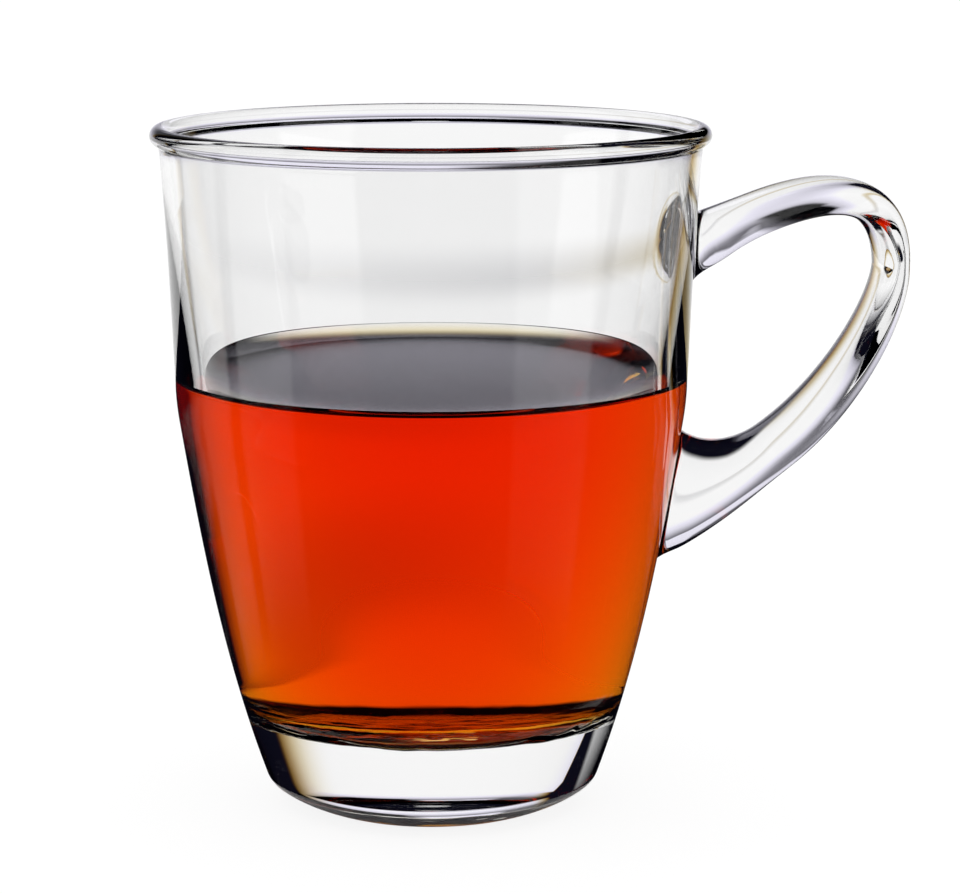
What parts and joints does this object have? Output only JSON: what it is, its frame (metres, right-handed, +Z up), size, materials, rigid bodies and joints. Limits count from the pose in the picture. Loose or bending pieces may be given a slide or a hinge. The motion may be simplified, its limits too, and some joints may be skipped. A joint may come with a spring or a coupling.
{
  "type": "glass mug of tea",
  "caption": "Clear pressed-glass mug with an ear handle, a round rim bead and a thick bottom, about two thirds full of clear red-orange tea.",
  "frame": {"origin": "on the mug's axis, in the plane that its foot stands on", "axes": "+Z up along the mug's axis; +X from the axis towards the handle; +Y completes the right-handed frame, across the handle"},
  "size_m": [0.1179, 0.0852, 0.105],
  "materials": {
    "clear_glass": "clear polished soda-lime glass, faintly wavy from pressing",
    "tea": "clear red-orange liquid, still"
  },
  "bodies": {
    "root": {"mug": "clear_glass", "tea": "tea"}
  },
  "joints": []
}
